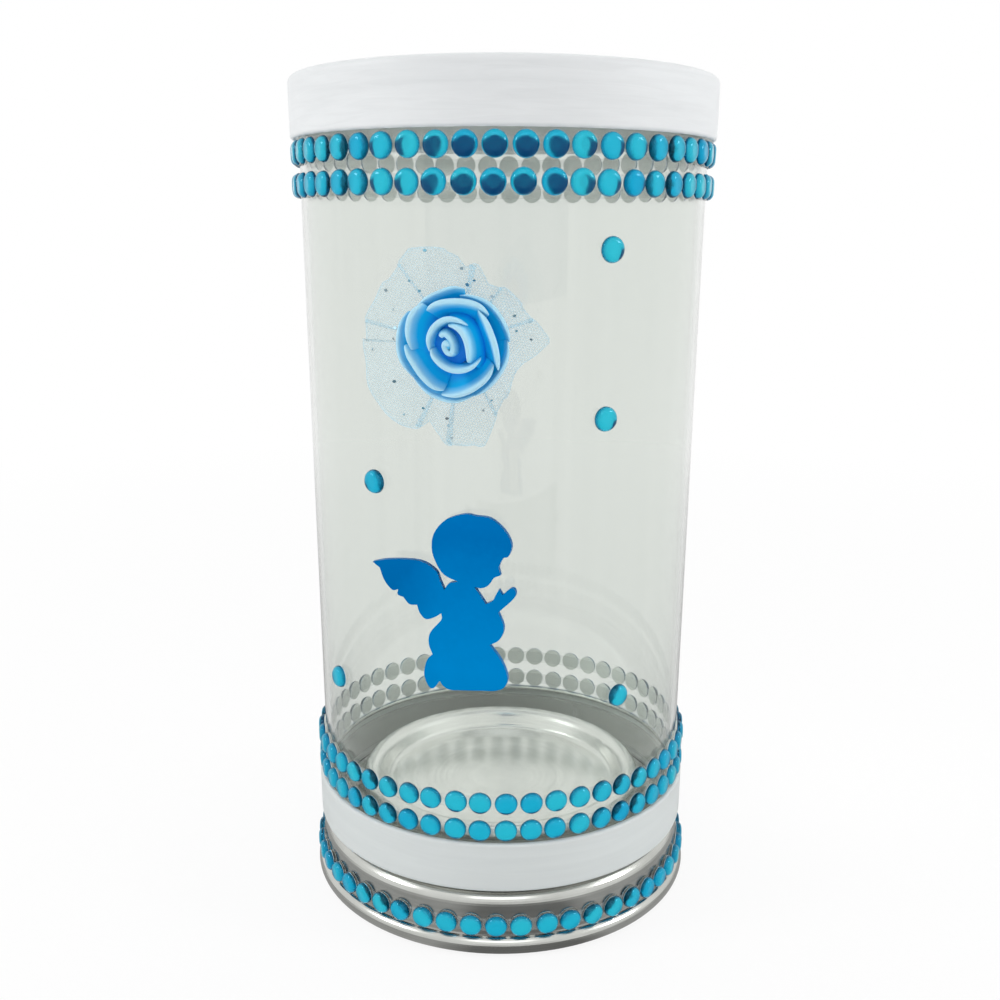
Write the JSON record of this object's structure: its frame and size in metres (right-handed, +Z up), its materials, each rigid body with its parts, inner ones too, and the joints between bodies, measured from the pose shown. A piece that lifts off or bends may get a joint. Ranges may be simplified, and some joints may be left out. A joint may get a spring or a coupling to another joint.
{
  "type": "decorated jar lantern",
  "caption": "Clear cylindrical jar lantern with a lift-off painted tin lid, a tin pedestal, rows of flat-back stones, a foam rose on tulle and an angel plate.",
  "frame": {"origin": "centre of the round hem that the jar stands on, at the surface it stands on", "axes": "+Z up along the tube's axis, -Y towards the front, which carries the rose and the angel, +X to the right"},
  "size_m": [0.0964, 0.1028, 0.1905],
  "materials": {
    "clear_plastic": "clear, glossy, thin-walled",
    "white_paint": "brushed-on white paint, satin, fine horizontal strokes",
    "bare_tin": "bright pressed tinplate, glossy with soft streaks",
    "blue_stone": "faceted clear blue resin on silver foil",
    "clear_film": "clear self-adhesive carrier strip",
    "blue_foam": "soft foam sheet, mid blue with pale airbrushed rims and deep blue hollows",
    "blue_tulle": "sheer net with scattered glitter",
    "blue_mirror": "coloured mirror acrylic, glossy",
    "glue": "set glue and foam tape"
  },
  "bodies": {
    "jar": {"clear_tube": "clear_plastic", "bottom_cap": "white_paint", "cap_glue": "glue", "pedestal": "bare_tin", "pedestal_glue": "glue", "strip_top_upper": "clear_film", "strip_top_lower": "clear_film", "strip_bottom_upper": "clear_film", "strip_bottom_lower": "clear_film", "strip_pedestal": "clear_film", "stones_top_upper": "blue_stone", "stones_top_lower": "blue_stone", "stones_bottom_upper": "blue_stone", "stones_bottom_lower": "blue_stone", "stones_pedestal": "blue_stone", "stone_right_top": "blue_stone", "stone_right_middle": "blue_stone", "stone_left_middle": "blue_stone", "stone_left_low": "blue_stone", "stone_right_low": "blue_stone", "tulle": "blue_tulle", "rose_glue": "glue", "rose_outer_petals": "blue_foam", "rose_middle_petals": "blue_foam", "rose_inner_petals": "blue_foam", "rose_bud": "blue_foam", "angel_plate": "blue_mirror", "angel_pad": "glue"},
    "lid": {"lid": "white_paint"}
  },
  "joints": [
    {"name": "lid_lift", "type": "slide", "parent": "jar", "child": "lid", "axis": [0, 0, 1], "range_m": [0, 0.04]}
  ]
}
